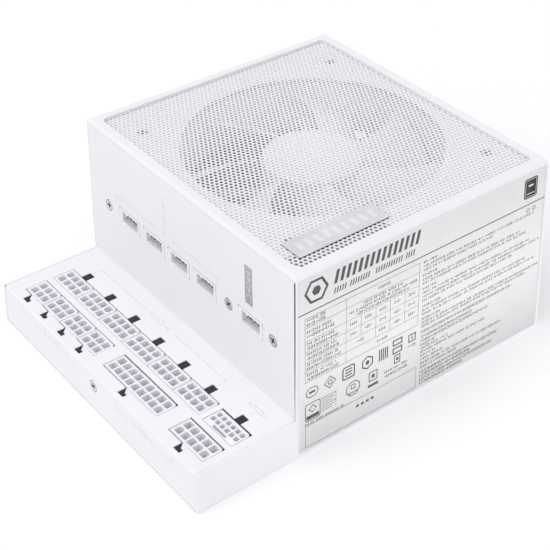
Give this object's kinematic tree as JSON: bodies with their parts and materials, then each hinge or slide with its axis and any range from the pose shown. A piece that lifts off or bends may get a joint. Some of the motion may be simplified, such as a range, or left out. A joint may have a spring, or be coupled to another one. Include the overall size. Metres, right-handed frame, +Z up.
{
  "type": "computer power supply unit",
  "caption": "White fully modular desktop power supply with an L-shaped profile: top intake fan behind fine mesh, stepped ledge of cable sockets, rear mains inlet and rocker.",
  "frame": {"origin": "middle of the underside, centred between the sides and between the ledge front and the rear panel", "axes": "+Z up (intake fan side), +Y towards the mains inlet face, -Y towards the connector ledge, +X the rating label side"},
  "size_m": [0.15, 0.1873, 0.086],
  "materials": {
    "white_coat": "fine satin powder coat",
    "white_mesh": "satin coat on perforated steel",
    "white_plastic": "moulded, satin",
    "fan_plastic": "smooth glass-filled moulding",
    "label_film": "matt printed film",
    "badge_metal": "brushed and clear-anodised",
    "screw_steel": "zinc plated",
    "board_green": "solder mask over glass laminate",
    "black_plastic": "fine spark texture",
    "copper": "bare and enamelled copper",
    "brass": "sintered, oiled",
    "aluminium": "extruded, mill finish",
    "ferrite": "sintered, taped",
    "yellow_tape": "polyester tape and film case",
    "clear_film": "translucent polyester sheet",
    "black_sleeve": "heat-shrink and vinyl sleeve"
  },
  "bodies": {
    "casing": {"base_shell": "white_coat", "top_cover": "white_coat", "connector_panel": "white_coat", "fan_bracket": "white_coat", "fan_grille": "white_mesh", "grille_badge": "badge_metal", "side_label": "label_film", "ledge_screw": "screw_steel", "ac_inlet": "black_plastic", "switch_housing": "black_plastic", "fan_frame": "fan_plastic", "fan_bearing": "brass", "fan_stator": "copper", "fan_cable": "black_sleeve", "main_board": "board_green", "modular_board": "board_green", "data_board": "board_green", "insulation_sheet": "clear_film", "emi_choke": "copper", "pfc_choke": "copper", "x_capacitor": "yellow_tape", "bulk_capacitor_1": "black_sleeve", "bulk_capacitor_2": "black_sleeve", "main_transformer": "ferrite", "resonant_inductor": "ferrite", "standby_transformer": "yellow_tape", "primary_heatsink": "aluminium", "secondary_heatsink": "aluminium", "bridge_rectifier": "black_plastic", "dc_dc_board": "board_green", "output_capacitor": "black_sleeve", "bus_bar_12v": "copper", "bus_bar_ground": "copper", "socket_8pin_1": "white_plastic", "socket_8pin_2": "white_plastic", "socket_8pin_3": "white_plastic", "socket_8pin_4": "white_plastic", "socket_8pin_5": "white_plastic", "socket_8pin_6": "white_plastic", "socket_6pin_1": "white_plastic", "socket_6pin_2": "white_plastic", "socket_6pin_3": "white_plastic", "socket_6pin_4": "white_plastic", "socket_18pin": "white_plastic", "socket_10pin": "white_plastic", "socket_12v_2x6": "white_plastic", "data_header_1": "white_plastic", "data_header_2": "white_plastic", "data_header_3": "white_plastic", "data_header_4": "white_plastic", "data_header_5": "white_plastic", "wall_screw_1": "screw_steel", "wall_screw_2": "screw_steel", "wall_screw_3": "screw_steel", "fan_screw_1": "screw_steel", "fan_screw_2": "screw_steel", "fan_screw_3": "screw_steel", "fan_screw_4": "screw_steel"},
    "rotor": {"fan_rotor": "fan_plastic"},
    "rocker": {"rocker_button": "black_plastic"}
  },
  "joints": [
    {"name": "fan_spin", "type": "hinge", "parent": "casing", "child": "rotor", "pos_m": [0, 0.0236, 0.07], "axis": [0, 0, 1], "continuous": true},
    {"name": "power_switch", "type": "hinge", "parent": "casing", "child": "rocker", "pos_m": [0.01, 0.09, 0.028], "axis": [1, 0, 0], "range_deg": [0, 20]}
  ]
}
